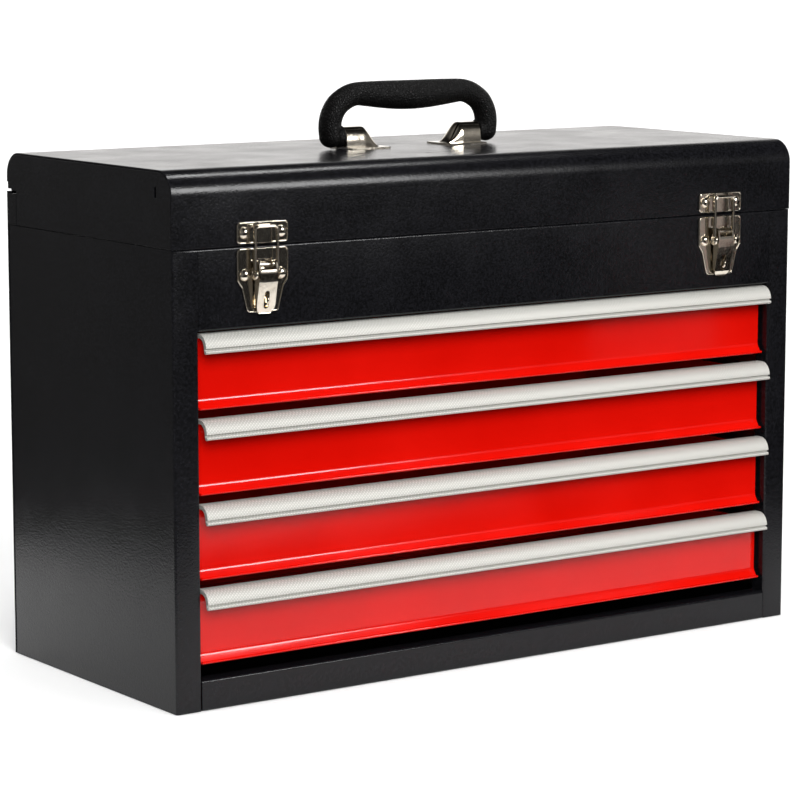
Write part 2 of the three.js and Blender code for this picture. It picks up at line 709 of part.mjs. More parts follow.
place('back_panel', backPanel(), blackPaint());
place('bottom_panel', bottomPanel(), blackPaint());
place('front_fascia', frontFascia(), blackPaint());
place('till_floor', tillFloor(), blackPaint());
place('lid_skin', lidSkin(), blackPaint());
place('hinge_leaf_cabinet', hingeLeaf(0, -1), blackPaint());
place('hinge_leaf_lid', hingeLeaf(1, 1), blackPaint());
place('hinge_pin', hingePin(), zincSteel());
place('handle_grip', handleGrip(), blackVinyl());

for (let k = 0; k < DRAWER_COUNT; k += 1) {
  const top = drawerTop(k);
  const height = top - FRONT_HEIGHT + SLIDE_RISE;
  place(`drawer_tray_${k + 1}`, drawerTray(top), redPaint());
  place(`drawer_pull_${k + 1}`, drawerPull(top), aluminium());
  for (const [name, side] of SIDES) {
    place(`slide_outer_${k + 1}_${name}`, slideOuter(side, height), zincSteel());
    place(`slide_inner_${k + 1}_${name}`, slideInner(side, height), zincSteel());
    place(`ball_cage_${k + 1}_${name}`, ballCage(side, height), zincSteel());
  }
}

export default group;
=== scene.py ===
# Steel tool chest: a lift-up lid on a piano hinge, four drawers, two toggle latches and a grip.
# The shapes are worked out in millimetres in the frame's axes and stored in metres.
from math import atan2, cos, degrees, hypot, pi, radians, sin, tan

import bmesh
import bpy
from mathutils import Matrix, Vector


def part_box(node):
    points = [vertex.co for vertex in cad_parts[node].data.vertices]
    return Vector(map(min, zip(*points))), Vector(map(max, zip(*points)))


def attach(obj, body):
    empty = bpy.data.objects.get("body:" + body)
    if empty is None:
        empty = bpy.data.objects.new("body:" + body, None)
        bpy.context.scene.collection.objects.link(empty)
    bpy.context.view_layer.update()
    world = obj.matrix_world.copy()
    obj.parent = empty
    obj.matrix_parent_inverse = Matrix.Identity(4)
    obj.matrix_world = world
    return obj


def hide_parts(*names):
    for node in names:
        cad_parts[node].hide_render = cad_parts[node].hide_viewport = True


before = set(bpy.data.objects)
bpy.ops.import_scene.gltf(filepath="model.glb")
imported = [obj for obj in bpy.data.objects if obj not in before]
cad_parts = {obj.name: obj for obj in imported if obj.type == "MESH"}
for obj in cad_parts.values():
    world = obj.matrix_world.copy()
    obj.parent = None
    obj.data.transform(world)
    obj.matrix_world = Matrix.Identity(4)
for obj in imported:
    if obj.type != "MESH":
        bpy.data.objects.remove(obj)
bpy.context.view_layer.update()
MM = 0.001


def corners(node):
    """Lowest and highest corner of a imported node, in millimetres."""
    low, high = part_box(node)
    return [v / MM for v in low], [v / MM for v in high]


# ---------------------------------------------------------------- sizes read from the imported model
(_, _, _), (HALF, _, BODY_TOP) = corners("side_panel_right")
(_, FRONT, FASCIA_FOOT), (FASCIA_HALF, _, _) = corners("front_fascia")
(_, _, LID_SEAM), (_, BACK, TOP) = corners("lid_skin")
(OPENING_HALF, _, _), _ = corners("side_panel_right")
(_, _, _), (_, _, BACK_TOP) = corners("back_panel")
PIN_LOW, PIN_HIGH = corners("hinge_pin")
HINGE_Y = (PIN_LOW[1] + PIN_HIGH[1]) / 2
HINGE_Z = (PIN_LOW[2] + PIN_HIGH[2]) / 2
SHEET = 1.0
FIT = 0.3
BEND = 1.6          # outside radius of a fold in the 1 mm sheet
RETURN = 12.0
FLANGE = 10.0
RAIL_HEIGHT = 20.0
LID_RADIUS = 16.0
WRAP_WIDTH = 12.5
SIDES = (("left", -1), ("right", 1))
CARRIED_EDGE = 0.25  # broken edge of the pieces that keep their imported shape


# ---------------------------------------------------------------- outlines
def arc(cx, cy, radius, start, end, steps):
    """Points on a circle between two angles in degrees."""
    turns = [radians(start + (end - start) * i / steps) for i in range(steps + 1)]
    return [(cx + radius * cos(t), cy + radius * sin(t)) for t in turns]


def rounded(line, radius, other=None, closed=False):
    """The line with its corners turned on a radius; other is the radius of a turn to the right."""
    other = radius if other is None else other
    count = len(line)
    made = []
    for i, here in enumerate(line):
        if not closed and i in (0, count - 1):
            made.append(tuple(here[:2]))
            continue
        before = Vector(line[i - 1][:2])
        after = Vector(line[(i + 1) % count][:2])
        corner = Vector(here[:2])
        back = (before - corner).normalized()
        ahead = (after - corner).normalized()
        turn = pi - back.angle(ahead, pi)
        leftward = (-back).cross(ahead) > 0
        size = here[2] if len(here) > 2 else (radius if leftward else other)
        if turn < radians(1) or size <= 0:
            made.append(tuple(corner))
            continue
        reach = size * tan(turn / 2)
        limit = 0.48 * min((before - corner).length, (after - corner).length)
        if reach > limit:
            size *= limit / reach
            reach = limit
        middle = corner + (back + ahead).normalized() * (size / cos(turn / 2))
        first = corner + back * reach - middle
        sweep = turn if leftward else -turn
        start = atan2(first.y, first.x)
        steps = max(2, round(degrees(turn) / 11))
        for k in range(steps + 1):
            t = start + sweep * k / steps
            made.append((middle.x + size * cos(t), middle.y + size * sin(t)))
    return made


def moved(line, distance):
    """The line moved to its left by a distance."""
    normals = []
    for (ax, ay), (bx, by) in zip(line, line[1:]):
        length = hypot(bx - ax, by - ay) or 1.0
        normals.append((-(by - ay) / length, (bx - ax) / length))
    made = []
    for i, (x, y) in enumerate(line):
        a = normals[max(i - 1, 0)]
        b = normals[min(i, len(normals) - 1)]
        k = distance / (1 + a[0] * b[0] + a[1] * b[1])
        made.append((x + (a[0] + b[0]) * k, y + (a[1] + b[1]) * k))
    return made


def folded(line, thickness, bend=BEND):
    """Section of a folded sheet: the line on its outer face, the thickness to the left of it."""
    inner = max(bend - abs(thickness), 0.3)
    left, right = (bend, inner) if thickness > 0 else (inner, bend)
    outer = rounded(line, left, right)
    return outer + moved(outer, thickness)[::-1]


def flipped(outline, side):
    """The outline mirrored for the left-hand side."""
    return [(x * side, y) for x, y in outline]


def span(side, near, far):
    return (near, far) if side > 0 else (-far, -near)


# ---------------------------------------------------------------- shells: lists of corners and faces
PLANES = {
    "x": lambda u, v, w: (w, u, v),
    "y": lambda u, v, w: (u, w, v),
    "z": lambda u, v, w: (u, v, w),
}


def run(outline, axis, start, end):
    """An outline run straight along an axis."""
    place = PLANES[axis]
    count = len(outline)
    points = [place(u, v, w) for w in (start, end) for u, v in outline]
    faces = [list(range(count)), list(range(count, 2 * count))]
    for i in range(count):
        j = (i + 1) % count
        faces.append([i, j, j + count, i + count])
    return points, faces


def slab(x0, x1, y0, y1, z0, z1):
    return run([(x0, y0), (x1, y0), (x1, y1), (x0, y1)], "z", z0, z1)


def skinned(rings, closed=False):
    """Rings of equally many points joined one to the next."""
    count = len(rings[0])
    points = [p for ring in rings for p in ring]
    faces = []
    for r in range(len(rings) if closed else len(rings) - 1):
        a, b = r * count, ((r + 1) % len(rings)) * count
        for i in range(count):
            j = (i + 1) % count
            faces.append([a + i, a + j, b + j, b + i])
    if not closed:
        faces.append(list(range(count)))
        faces.append([(len(rings) - 1) * count + i for i in range(count)])
    return points, faces


def swept(route, radii, sides=16, squash=1.0, up=(0, 1, 0), closed=False):
    """A round bar along a route, with a radius at each point; squash flattens it across."""
    route = [Vector(p) for p in route]
    if not hasattr(radii, "__len__"):
        radii = [radii] * len(route)
    rings = []
    side = Vector(up)
    for i, point in enumerate(route):
        if closed:
            heading = route[(i + 1) % len(route)] - route[i - 1]
        else:
            heading = route[min(i + 1, len(route) - 1)] - route[max(i - 1, 0)]
        heading.normalize()
        side = (side - heading * side.dot(heading)).normalized()
        across = heading.cross(side)
        ring = []
        for k in range(sides):
            t = 2 * pi * k / sides
            ring.append(tuple(point + (side * cos(t) + across * sin(t) * squash) * radii[i]))
        rings.append(ring)
    return skinned(rings, closed)


def rod(start, end, radius, sides=20, soft=0.2):
    """A round bar with slightly rounded ends."""
    a, b = Vector(start), Vector(end)
    way = (b - a).normalized()
    stations = [a, a + way * soft * 0.3, a + way * soft, b - way * soft, b - way * soft * 0.3, b]
    up = (0, 0, 1) if abs(way.z) < 0.9 else (0, 1, 0)
    grow = [radius - soft, radius - soft * 0.3, radius, radius, radius - soft * 0.3, radius - soft]
    return swept(stations, grow, sides, up=up)


def turned(profile, centre, axis, sides=24):
    """A profile of (radius, height) turned about an axis through the centre; it starts and ends on it."""
    centre, way = Vector(centre), Vector(axis).normalized()
    side = Vector((0, 0, 1)) if abs(way.z) < 0.9 else Vector((1, 0, 0))
    across = way.cross(side)
    points, faces = [tuple(centre + way * profile[0][1])], []
    for radius, height in profile[1:-1]:
        for k in range(sides):
            t = 2 * pi * k / sides
            points.append(tuple(centre + way * height + (side * cos(t) + across * sin(t)) * radius))
    points.append(tuple(centre + way * profile[-1][1]))
    last = len(points) - 1
    bands = len(profile) - 2
    for k in range(sides):
        j = (k + 1) % sides
        faces.append([0, 1 + k, 1 + j])
        for band in range(bands - 1):
            a, b = 1 + band * sides, 1 + (band + 1) * sides
            faces.append([a + k, b + k, b + j, a + j])
        end = 1 + (bands - 1) * sides
        faces.append([last, end + j, end + k])
    return points, faces


def shifted(shell, dx):
    """The shell moved along X."""
    points, faces = shell
    return [(x + dx, y, z) for x, y, z in points], faces


# ---------------------------------------------------------------- pieces
def mesh_of(name, shells):
    points, faces = [], []
    for shell_points, shell_faces in shells:
        base = len(points)
        points += [(x * MM, y * MM, z * MM) for x, y, z in shell_points]
        faces += [[base + i for i in face] for face in shell_faces]
    mesh = bpy.data.meshes.new(name)
    mesh.from_pydata(points, [], faces)
    work = bmesh.new()
    work.from_mesh(mesh)
    bmesh.ops.remove_doubles(work, verts=work.verts, dist=1e-7)
    bmesh.ops.recalc_face_normals(work, faces=work.faces)
    work.to_mesh(mesh)
    work.free()
    return mesh


def settled(piece):
    """Takes the piece's modifiers into its mesh."""
    graph = bpy.context.evaluated_depsgraph_get()
    mesh = bpy.data.meshes.new_from_object(piece.evaluated_get(graph))
    piece.modifiers.clear()
    piece.data = mesh
    return piece


def combined(piece, shells, how):
    """The piece joined with, or cut by, closed shells."""
    tool = bpy.data.objects.new("tool", mesh_of("tool", shells))
    bpy.context.collection.objects.link(tool)
    step = piece.modifiers.new("combine", "BOOLEAN")
    step.operation = how
    step.solver = "EXACT"
    step.use_self = True
    step.object = tool
    settled(piece)
    bpy.data.objects.remove(tool)
    work = bmesh.new()
    work.from_mesh(piece.data)
    bmesh.ops.remove_doubles(work, verts=work.verts, dist=1e-6)
    bmesh.ops.dissolve_limit(
        work, angle_limit=radians(0.2), verts=work.verts, edges=work.edges, use_dissolve_boundaries=False,
    )
    work.to_mesh(piece.data)
    work.free()
    return piece


def softened(piece, edge=0.25, steps=2, angle=32):
    """Breaks the sharp edges by a small radius and shades the rest smooth."""
    piece.data.polygons.foreach_set("use_smooth", [True] * len(piece.data.polygons))
    if edge:
        bevel = piece.modifiers.new("broken edges", "BEVEL")
        bevel.width = edge * MM
        bevel.segments = steps
        bevel.limit_method = "ANGLE"
        bevel.angle_limit = radians(angle)
        bevel.harden_normals = True
        bevel.use_clamp_overlap = True
    else:
        piece.data.set_sharp_from_angle(angle=radians(angle))
    return piece


def make(name, shells, body, nodes, material, edge=0.25, cuts=(), steps=2):
    """One piece on its body, in place of its CAD nodes."""
    piece = bpy.data.objects.new(name, mesh_of(name, shells))
    bpy.context.collection.objects.link(piece)
    if cuts:
        combined(piece, list(cuts), "DIFFERENCE")
    softened(piece, edge, steps)
    piece.data.materials.clear()
    piece.data.materials.append(material)
    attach(piece, body)
    if nodes:
        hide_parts(*nodes)
    return piece


# ---------------------------------------------------------------- materials
def linear(code):
    """An sRGB hex colour as the linear values that a shader takes."""
    parts = [int(code[i:i + 2], 16) / 255 for i in (1, 3, 5)]
    return tuple(c / 12.92 if c <= 0.04045 else ((c + 0.055) / 1.055) ** 2.4 for c in parts) + (1.0,)


def add(tree, kind, inputs=None, **settings):
    """A node with its settings; each input is a value or another node's output."""
    node = tree.nodes.new(kind)
    for key, value in settings.items():
        setattr(node, key, value)
    for key, value in (inputs or {}).items():
        if isinstance(value, bpy.types.NodeSocket):
            tree.links.new(value, node.inputs[key])
        else:
            node.inputs[key].default_value = value
    return node


def started(name, **shader_values):
    """A new material's node tree and its shader, with the shader's plain values set."""
    material = bpy.data.materials.new(name)
    material.use_nodes = True
    tree = material.node_tree
    tree.nodes.clear()
    shader = add(tree, "ShaderNodeBsdfPrincipled", shader_values)
    add(tree, "ShaderNodeOutputMaterial", {"Surface": shader.outputs[0]})
    place = add(tree, "ShaderNodeTexCoord").outputs["Object"]
    return material, tree, shader, place


def grain(tree, place, size, detail=2.0, rough=0.5):
    """Noise whose grains are about size millimetres across."""
    return add(
        tree, "ShaderNodeTexNoise",
        {"Vector": place, "Scale": 1 / (size * MM), "Detail": detail, "Roughness": rough},
    ).outputs["Fac"]


def between(tree, factor, low, high, from_low=0.3, from_high=0.7):
    """A number that goes from low to high as the factor crosses its range."""
    return add(tree, "ShaderNodeMapRange", {
        "Value": factor, "From Min": from_low, "From Max": from_high, "To Min": low, "To Max": high,
    }).outputs[0]


def tinted(tree, factor, dark, light, low=0.3, high=0.7):
    """A colour that goes from dark to light as the factor crosses its range."""
    ramp = add(tree, "ShaderNodeValToRGB", {"Fac": factor})
    ramp.color_ramp.elements[0].position = low
    ramp.color_ramp.elements[0].color = linear(dark)
    ramp.color_ramp.elements[1].position = high
    ramp.color_ramp.elements[1].color = linear(light)
    return ramp.outputs["Color"]


def bumped(tree, shader, height, depth):
    """Relief of a depth in millimetres."""
    relief = add(tree, "ShaderNodeBump", {"Height": height, "Distance": depth * MM, "Strength": 1.0})
    tree.links.new(relief.outputs[0], shader.inputs["Normal"])


def baked_powder_coat():
    # Black powder sprayed on and baked: it flows into a fine pebbled skin with a satin sheen.
    material, tree, shader, place = started("baked powder coat, black", IOR=1.34)
    pebble = grain(tree, place, 1.5, 2.0, 0.55)
    patch = grain(tree, place, 38.0, 3.0)
    # Painted shade: the colour is darker in the hollows of the pebbled relief and lighter on its raised
    # grains.
    shade = tinted(tree, pebble, "#060607", "#141417", 0.36, 0.66)
    haze = tinted(tree, patch, "#000000", "#020203")
    both = add(tree, "ShaderNodeMix", {0: 1.0, 6: shade, 7: haze}, data_type="RGBA", blend_type="ADD")
    tree.links.new(both.outputs[2], shader.inputs["Base Color"])
    tree.links.new(between(tree, patch, 0.20, 0.26), shader.inputs["Roughness"])
    bumped(tree, shader, pebble, 0.10)
    return material


def glossy_enamel():
    # Red gloss enamel, sprayed: a wet-looking film with a trace of orange peel.
    material, tree, shader, place = started("sprayed gloss enamel, red", IOR=1.42)
    peel = grain(tree, place, 4.0, 1.5)
    patch = grain(tree, place, 60.0, 2.0)
    tree.links.new(tinted(tree, patch, "#CC0A02", "#D50E05"), shader.inputs["Base Color"])
    tree.links.new(between(tree, patch, 0.12, 0.15), shader.inputs["Roughness"])
    bumped(tree, shader, peel, 0.012)
    return material


def rolled_aluminium():
    # Aluminium strip run through a knurled roll: crossed diagonal lines that scatter the light.
    # The real lines are about 0.5 mm apart, too fine to show, so they are drawn 1.6 mm apart.
    material, tree, shader, place = started("knurl-rolled aluminium", Metallic=0.55)
    waves = []
    for lean in (38, -52):
        turned_place = add(tree, "ShaderNodeMapping", {"Vector": place, "Rotation": (0, radians(lean), 0)})
        wave = add(tree, "ShaderNodeTexWave", {
            "Vector": turned_place.outputs[0], "Scale": 2 * pi / (20 * 1.6 * MM), "Distortion": 0.6,
            "Detail": 1.0, "Detail Scale": 3.0,
        }, wave_type="BANDS", bands_direction="X")
        waves.append(wave.outputs["Fac"])
    hatch = add(tree, "ShaderNodeMath", {0: waves[0], 1: waves[1]}, operation="MULTIPLY").outputs[0]
    dust = grain(tree, place, 0.8, 2.0)
    tone = add(tree, "ShaderNodeMath", {0: hatch, 1: dust}, operation="MULTIPLY_ADD")
    tone.inputs[2].default_value = 0.1
    tree.links.new(tinted(tree, tone.outputs[0], "#BDBCB6", "#D6D5D0", 0.1, 0.5), shader.inputs["Base Color"])
    tree.links.new(between(tree, tone.outputs[0], 0.66, 0.54, 0.1, 0.6), shader.inputs["Roughness"])
    bumped(tree, shader, hatch, 0.035)
    return material


def bright_nickel():
    # Bright nickel plate over pressed steel: a warm mirror, faintly wavy from the press.
    material, tree, shader, place = started("bright nickel plate", Metallic=1.0)
    wave = grain(tree, place, 5.0, 2.0)
    fine = grain(tree, place, 0.7, 2.0)
    tree.links.new(tinted(tree, wave, "#CFC6B6", "#DDD5C7"), shader.inputs["Base Color"])
    tree.links.new(between(tree, fine, 0.09, 0.17), shader.inputs["Roughness"])
    bumped(tree, shader, wave, 0.06)
    return material


def zinc_plated_steel():
    # Zinc plate, bright passivated: cool grey with faint blue and straw patches.
    material, tree, shader, place = started("zinc plate on cold-rolled steel", Metallic=1.0)
    patch = grain(tree, place, 9.0, 3.0, 0.6)
    draw = add(tree, "ShaderNodeMapping", {"Vector": place, "Scale": (1, 0.04, 1)})
    streak = grain(tree, draw.outputs[0], 1.2, 2.0)
    tree.links.new(tinted(tree, patch, "#A9B0B6", "#C6C4BC"), shader.inputs["Base Color"])
    tree.links.new(between(tree, streak, 0.26, 0.40), shader.inputs["Roughness"])
    bumped(tree, shader, streak, 0.02)
    return material


def leather_grain_vinyl():
    # Soft vinyl moulded round the handle's core, with a leather grain: creased cells about 2 mm across.
    material, tree, shader, place = started("leather-grain moulded vinyl, black", IOR=1.3)
    warp = grain(tree, place, 6.0, 2.0)
    shifted_place = add(tree, "ShaderNodeVectorMath", {0: place}, operation="ADD")
    nudge = add(tree, "ShaderNodeVectorMath", {0: warp, "Scale": 1.6 * MM}, operation="SCALE")
    tree.links.new(nudge.outputs[0], shifted_place.inputs[1])
    cells = add(tree, "ShaderNodeTexVoronoi", {
        "Vector": shifted_place.outputs[0], "Scale": 1 / (2.1 * MM),
    }, feature="DISTANCE_TO_EDGE")
    crease = between(tree, cells.outputs["Distance"], 0.0, 1.0, 0.0, 0.28)
    pore = grain(tree, place, 0.6, 2.0)
    relief = add(tree, "ShaderNodeMath", {0: pore, 1: 0.25, 2: crease}, operation="MULTIPLY_ADD").outputs[0]
    # Painted shade: the colour is darker down in the creases between the grain's cells.
    tree.links.new(tinted(tree, crease, "#030303", "#0C0B0B", 0.0, 0.9), shader.inputs["Base Color"])
    tree.links.new(between(tree, crease, 0.62, 0.40, 0.0, 1.0), shader.inputs["Roughness"])
    bumped(tree, shader, relief, 0.28)
    return material


def painted_floor():
    # Matt white studio floor, rolled on in thin coats.
    material, tree, shader, place = started("matt white floor paint")
    patch = grain(tree, place, 900.0, 2.0)
    tree.links.new(tinted(tree, patch, "#F4F4F4", "#F8F8F8"), shader.inputs["Base Color"])
    tree.links.new(between(tree, patch, 0.85, 0.95), shader.inputs["Roughness"])
    return material


BLACK = baked_powder_coat()
RED = glossy_enamel()
ALUMINIUM = rolled_aluminium()
NICKEL = bright_nickel()
ZINC = zinc_plated_steel()
VINYL = leather_grain_vinyl()


# ---------------------------------------------------------------- cabinet
def side_panel(name, side):
    """Post, wall and rear edge folded from one sheet, with a lip turned in along the top."""
    rear = BACK - SHEET - FIT
    section = folded([
        (OPENING_HALF, FRONT + RETURN),
        (OPENING_HALF, FRONT),
        (HALF, FRONT),
        (HALF, rear),
        (HALF - RETURN, rear),
    ], SHEET)
    wall = run(flipped(section, side), "z", 0, BODY_TOP)
    x0, x1 = span(side, OPENING_HALF - 1, OPENING_HALF + BEND + 0.4)
    above = slab(x0, x1, FRONT + SHEET + 0.05, FRONT + RETURN + 1, FASCIA_FOOT, BODY_TOP + 1)
    below = slab(x0, x1, FRONT + SHEET + 0.05, FRONT + RETURN + 1, -1, SHEET + FIT)
    near, far = span(side, HALF - FLANGE, HALF - SHEET / 2)
    post_near, post_far = span(side, OPENING_HALF, HALF - SHEET / 2)
    lips = [
        slab(near, far, FRONT + SHEET / 2, rear - SHEET / 2, BODY_TOP - SHEET, BODY_TOP),
        slab(post_near, post_far, FRONT + SHEET / 2, FRONT + FLANGE, BODY_TOP - SHEET, BODY_TOP),
    ]
    piece = make(
        f"cabinet_side_{name}", [wall], "cabinet", [f"side_panel_{name}"], BLACK,
        edge=0, cuts=[above, below],
    )
    squared = slab(
        *span(side, OPENING_HALF, OPENING_HALF + BEND + 0.5), FRONT, FRONT + SHEET,
        FASCIA_FOOT + 0.4, BODY_TOP,
    )
    for part in [squared] + lips:
        combined(piece, [part], "UNION")
    corner = [(FRONT - 1, BODY_TOP + 1), (FRONT - 1, BODY_TOP - BEND), (FRONT, BODY_TOP - BEND)]
    corner += arc(FRONT + BEND, BODY_TOP - BEND, BEND, 180, 90, 6)[1:] + [(FRONT + BEND, BODY_TOP + 1)]
    combined(piece, [run(corner, "x", *span(side, OPENING_HALF - 1, HALF + 1))], "DIFFERENCE")
    softened(piece, 0.45, 3, 50)


def fascia():
    """The plain strip above the drawers, folded back at its top and foot."""
    section = folded([
        (FRONT + RETURN, FASCIA_FOOT),
        (FRONT, FASCIA_FOOT),
        (FRONT, BODY_TOP),
        (FRONT + FLANGE, BODY_TOP),
    ], -SHEET)
    bar = run(section, "x", -FASCIA_HALF - 0.15, FASCIA_HALF + 0.15)
    make("cabinet_fascia", [bar], "cabinet", ["front_fascia"], BLACK, 0.08)


def bottom():
    """Floor plate with the front rail folded up from it and an upstand at each side."""
    inside = HALF - SHEET - FIT
    rear = BACK - 2 * SHEET - 2 * FIT
    rail = run(folded([
        (FRONT + SHEET + 1, 0),
        (FRONT, 0),
        (FRONT, RAIL_HEIGHT),
        (FRONT + RETURN, RAIL_HEIGHT),
    ], -SHEET), "x", -FASCIA_HALF, FASCIA_HALF)
    tray = run(folded([
        (-inside, FLANGE), (-inside, 0), (inside, 0), (inside, FLANGE),
    ], SHEET), "y", FRONT + RETURN + FIT, rear)
    sill = slab(-inside, inside, FRONT + SHEET + FIT, FRONT + RETURN + FIT + 0.5, 0, SHEET)
    piece = make("cabinet_bottom", [tray], "cabinet", ["bottom_panel"], BLACK, edge=0)
    combined(piece, [sill], "UNION")
    combined(piece, [rail], "UNION")
    softened(piece, 0.2, 2, 50)


def carried_over(node, material):
    """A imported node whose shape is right: it keeps its mesh and gets its finish and broken edges."""
    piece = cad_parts[node]
    piece.data.materials.clear()
    piece.data.materials.append(material)
    bevel = piece.modifiers.new("broken edges", "BEVEL")
    bevel.width = CARRIED_EDGE * MM
    bevel.segments = 2
    bevel.limit_method = "ANGLE"
    bevel.angle_limit = radians(50)


# ---------------------------------------------------------------- drawers
(_, DRAWER_LIP, _), (FRONT_HALF, TRAY_BACK, _) = corners("drawer_tray_1")
DRAWER_FACE = DRAWER_LIP + 5.5
PULL_HALF = corners("drawer_pull_1")[1][0]
SLIDE_START = corners("slide_outer_1_right")[0][1]
SLIDE_END = corners("slide_outer_1_right")[1][1]
OUTER_NEAR, OUTER_FAR = (corners("slide_outer_1_right")[i][0] for i in (0, 1))
INNER_NEAR, INNER_FAR = (corners("slide_inner_1_right")[i][0] for i in (0, 1))
TRAY_HALF = INNER_NEAR - FIT
FRONT_HEIGHT = 49.5
PULL_REACH, PULL_DROP = 8.3, 9.5    # half-axes of the pull's rounded nose
PULL_THICK = 2.8                    # nose and bead together, so that the groove does not break through
PULL_BEAD = 1.25
BALL, BALLS, BALL_ROW = 1.75, 5, 10.0


def tray(k, top):
    """Drawer tray: a front with a flared lip and rolled edge, and a box with hemmed sides behind it."""
    foot = top - FRONT_HEIGHT
    shelf = top - 2.5
    floor = foot + 2
    rim = top - 5.5
    face = DRAWER_FACE
    line = rounded([
        (face - 3.6, foot + 0.25),
        (face, foot + 6, 4.5),
        (face, shelf, 0.8),
        (FRONT + 2, shelf),
    ], 0.8, 2.2)
    section = line + moved(line, -SHEET)[::-1]
    front = run(section, "x", -FRONT_HALF, FRONT_HALF)
    bead = rod((-FRONT_HALF, face - 4.15, foot + 0.92), (FRONT_HALF, face - 4.15, foot + 0.92), 0.92, 16, 0.2)
    half = TRAY_HALF
    box = run(folded([
        (-half + 4, rim), (-half, rim), (-half, floor), (half, floor), (half, rim), (half - 4, rim),
    ], SHEET, 1.4), "y", face + SHEET + 0.1, TRAY_BACK - SHEET - 0.1)
    back = slab(-half, half, TRAY_BACK - SHEET, TRAY_BACK, floor, rim)
    make(
        f"drawer_{k}_tray", [front, bead, box, back], f"drawer_{k}", [f"drawer_tray_{k}"],
        RED, 0.22,
    )


def pull(k, top):
    """Rolled aluminium strip: a flat web, a quarter-round nose, a groove and a bead along its lower edge."""
    centre_y, centre_z = FRONT + 2.5, top - PULL_DROP
    nose = []
    for i in range(13):
        t = radians(90 + 86 * i / 12)
        nose.append((centre_y + PULL_REACH * cos(t), centre_z + PULL_DROP * sin(t)))
    lower = top - 10.3
    outer = [(DRAWER_FACE, top)] + nose + [(centre_y - 6.5, top - 9.2), (centre_y - 6.5, lower)]
    inner = moved([(DRAWER_FACE, top)] + nose + [(centre_y - PULL_REACH, lower)], PULL_THICK)
    bead = arc(centre_y - 7.25, top - 11.3, PULL_BEAD, 125, 350, 14)
    section = outer + bead + [inner[-1]] + inner[::-1][1:]
    strip = run(section, "x", -PULL_HALF, PULL_HALF)
    make(
        f"drawer_{k}_pull", [strip], f"drawer_{k}", [f"drawer_pull_{k}"], ALUMINIUM, 0.18,
    )


def slides(k, foot, name, side):
    """Ball-bearing slide: outer and inner channel, and the cage of balls between them."""
    middle = foot + 22
    body = f"drawer_{k}"

    def channel(points, bend):
        return [(x * side, z + middle) for x, z in folded(points, SHEET, bend)]

    outer = channel([
        (OUTER_NEAR, -13), (OUTER_FAR, -13), (OUTER_FAR, 13), (OUTER_NEAR, 13),
    ], 2.6)
    inner = channel([
        (INNER_FAR, 8), (INNER_NEAR, 8), (INNER_NEAR, -8), (INNER_FAR, -8),
    ], 1.8)
    make(
        f"drawer_{k}_slide_outer_{name}", [run(outer, "y", SLIDE_START, SLIDE_END)], "cabinet",
        [f"slide_outer_{k}_{name}"], ZINC, 0.2,
    )
    low, high = corners(f"slide_inner_{k}_{name}")
    make(
        f"drawer_{k}_slide_inner_{name}", [run(inner, "y", low[1], high[1])], body,
        [f"slide_inner_{k}_{name}"], ZINC, 0.2,
    )
    low, high = corners(f"ball_cage_{k}_{name}")
    row = BALL_ROW
    near = TRAY_HALF + 1.4
    strip = [(x * side, z + middle) for x, z in folded([
        (near, -row - 0.3), (near + 4.6, -row - 0.3), (near + 4.6, row + 0.3), (near, row + 0.3),
    ], 0.6, 1.4)]
    balls = []
    for i in range(BALLS):
        y = low[1] + (high[1] - low[1]) * (i + 0.5) / BALLS
        for z in (middle - row, middle + row):
            profile = [(BALL * sin(radians(a)), -BALL * cos(radians(a))) for a in range(0, 181, 20)]
            balls.append(turned(profile, (side * (near + BALL), y, z), (0, 0, 1), 18))
    make(
        f"drawer_{k}_ball_cage_{name}", [run(strip, "y", low[1], high[1])] + balls, f"cage_{k}",
        [f"ball_cage_{k}_{name}"], ZINC, 0,
    )


# ---------------------------------------------------------------- lid
def lid_line(inset, rear_edge):
    """The lid's section from the rear edge over the top to the front edge."""
    radius = LID_RADIUS - inset
    z = TOP - LID_RADIUS
    return (
        [(BACK - inset, rear_edge)]
        + arc(BACK - LID_RADIUS, z, radius, 0, 90, 18)
        + arc(FRONT + LID_RADIUS, z, radius, 90, 180, 18)
        + [(FRONT + inset, LID_SEAM)]
    )


def lid_skin():
    line = lid_line(0, HINGE_Z + 2.7)
    skin = run(line + moved(line, SHEET)[::-1], "x", -HALF, HALF)
    slits = [
        slab(-31, 0, FRONT + 44.3, FRONT + 45.7, TOP - 3, TOP + 1),
        slab(-29, 2, FRONT + 129.3, FRONT + 130.7, TOP - 3, TOP + 1),
    ]
    make("lid_skin", [skin], "lid", ["lid_skin"], BLACK, 0.25, cuts=slits)


def lid_end(name, side):
    """End plate folded in under the skin, with a small slot near the front corner."""
    inset = SHEET + FIT
    notch = HINGE_Z - 2
    step = BACK - WRAP_WIDTH - FIT
    line = lid_line(inset, notch)
    plate = run(line + [(step, LID_SEAM), (step, notch)], "x", *span(side, HALF - SHEET, HALF))
    rim = run(line + moved(line, SHEET)[::-1], "x", *span(side, HALF - FLANGE, HALF - SHEET / 2))
    x0, x1 = span(side, HALF - 3, HALF + 1)
    slot = slab(x0, x1, FRONT + 19, FRONT + 21, TOP - 18, TOP - 11)
    piece = make(
        f"lid_end_{name}", [plate], "lid", [f"lid_end_{name}"], BLACK, edge=0, cuts=[slot],
    )
    combined(piece, [rim], "UNION")
    tab = slab(*span(side, HALF - SHEET, HALF), step, HINGE_Y - 2.9, BACK_TOP + 0.6, notch + 0.3)
    combined(piece, [tab], "UNION")
    softened(piece, 0.35, 3, 50)


def sleeve(x0, x1, y, z, outer, inner):
    """A short tube along X."""
    sides = 20
    rings = []
    for x, radius in ((x0, outer - 0.15), (x0 + 0.15, outer), (x1 - 0.15, outer), (x1, outer - 0.15),
                      (x1, inner), (x0, inner)):
        turns = [2 * pi * k / sides for k in range(sides)]
        rings.append([(x, y + radius * cos(t), z + radius * sin(t)) for t in turns])
    return skinned(rings, closed=True)


